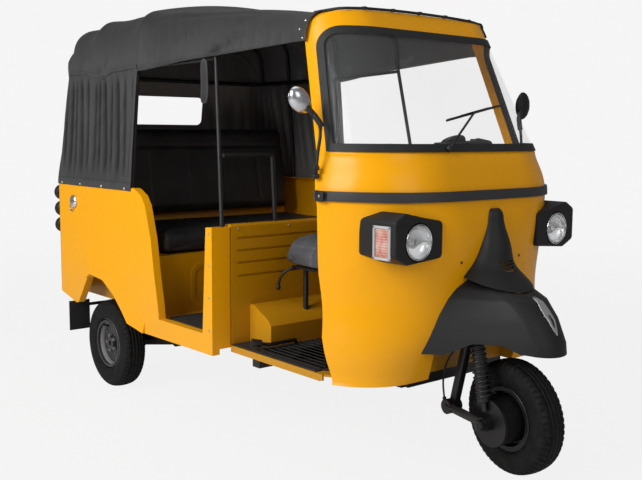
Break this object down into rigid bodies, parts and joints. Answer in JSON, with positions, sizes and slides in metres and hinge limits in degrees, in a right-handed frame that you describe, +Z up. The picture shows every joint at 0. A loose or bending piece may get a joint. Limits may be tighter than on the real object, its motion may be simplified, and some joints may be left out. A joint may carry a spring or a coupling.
{
  "type": "auto rickshaw",
  "caption": "Auto rickshaw with an open cab, a bench seat for passengers under a folding canopy, one steered front wheel and a rear engine.",
  "frame": {"origin": "on the floor, at the middle of the overall length and width", "axes": "+X to the vehicle's left, +Y to its rear, +Z up; the nose faces -Y"},
  "size_m": [1.32, 2.6929, 1.8],
  "materials": {
    "body_paint": "gloss enamel",
    "black_moulding": "grained moulding",
    "black_paint": "satin black paint",
    "rubber_trim": "matte",
    "clear_glass": "clear",
    "lens": "clear lens",
    "amber_lens": "clear cover over an amber reflector",
    "red_lens": "moulded lens",
    "seat_vinyl": "dark vinyl",
    "grey_vinyl": "worn grey vinyl",
    "canopy_cloth": "coated cloth",
    "tyre_rubber": "matte",
    "rim_paint": "satin dark paint",
    "cast_block": "cast",
    "bright_metal": "polished"
  },
  "bodies": {
    "body": {"front_panel": "body_paint", "wheel_well": "body_paint", "windscreen_frame": "body_paint", "windscreen_gasket": "rubber_trim", "windscreen_glass": "clear_glass", "belt_strip": "black_moulding", "dashboard": "black_moulding", "front_fender": "black_moulding", "nose_cone": "black_moulding", "headlamp_housings": "black_moulding", "headlamp_lenses": "lens", "front_indicators": "amber_lens", "chassis_frame": "black_paint", "floor_pans": "body_paint", "bulkhead": "body_paint", "seat_stand": "black_paint", "driver_cushion": "grey_vinyl", "floor_mats": "rubber_trim", "side_panels": "body_paint", "back_panel": "body_paint", "seat_base": "body_paint", "passenger_cushion": "seat_vinyl", "passenger_backrest": "seat_vinyl", "engine": "cast_block", "rear_suspension": "black_paint", "canopy_cover": "canopy_cloth", "canopy_hoops": "black_paint", "canopy_rails": "black_paint", "canopy_poles": "black_paint", "controls": "black_paint", "mudflaps": "rubber_trim", "tail_lamps": "red_lens", "filler_cap": "bright_metal", "mirrors": "black_moulding"},
    "engine_lid": {"engine_lid": "body_paint"},
    "steering": {"fork": "black_paint", "handlebar": "black_paint", "link_arm": "black_paint", "front_shock": "black_paint", "brake_hose": "rubber_trim"},
    "front_wheel": {"front_tyre": "tyre_rubber", "front_rim": "rim_paint"},
    "rear_wheel_right": {"rear_tyre_right": "tyre_rubber", "rear_rim_right": "rim_paint"},
    "rear_wheel_left": {"rear_tyre_left": "tyre_rubber", "rear_rim_left": "rim_paint"}
  },
  "joints": [
    {"name": "steering_turn", "type": "hinge", "parent": "body", "child": "steering", "pos_m": [0, -1.03875, 0.6], "axis": [0, 0.309, 0.9511], "range_deg": [-21, 39]},
    {"name": "front_wheel_spin", "type": "hinge", "parent": "steering", "child": "front_wheel", "pos_m": [0.00395, -1.14006, 0.2074], "axis": [0.9877, -0.1488, 0.0483], "continuous": true},
    {"name": "rear_wheel_right_spin", "type": "hinge", "parent": "body", "child": "rear_wheel_right", "pos_m": [-0.57, 0.7803, 0.2075], "axis": [1, 0, 0], "continuous": true},
    {"name": "rear_wheel_left_spin", "type": "hinge", "parent": "body", "child": "rear_wheel_left", "pos_m": [0.57, 0.7803, 0.2075], "axis": [1, 0, 0], "continuous": true},
    {"name": "engine_lid_hinge", "type": "hinge", "parent": "body", "child": "engine_lid", "pos_m": [0, 1.2933, 0.762], "axis": [1, 0, 0], "range_deg": [0, 75]}
  ]
}
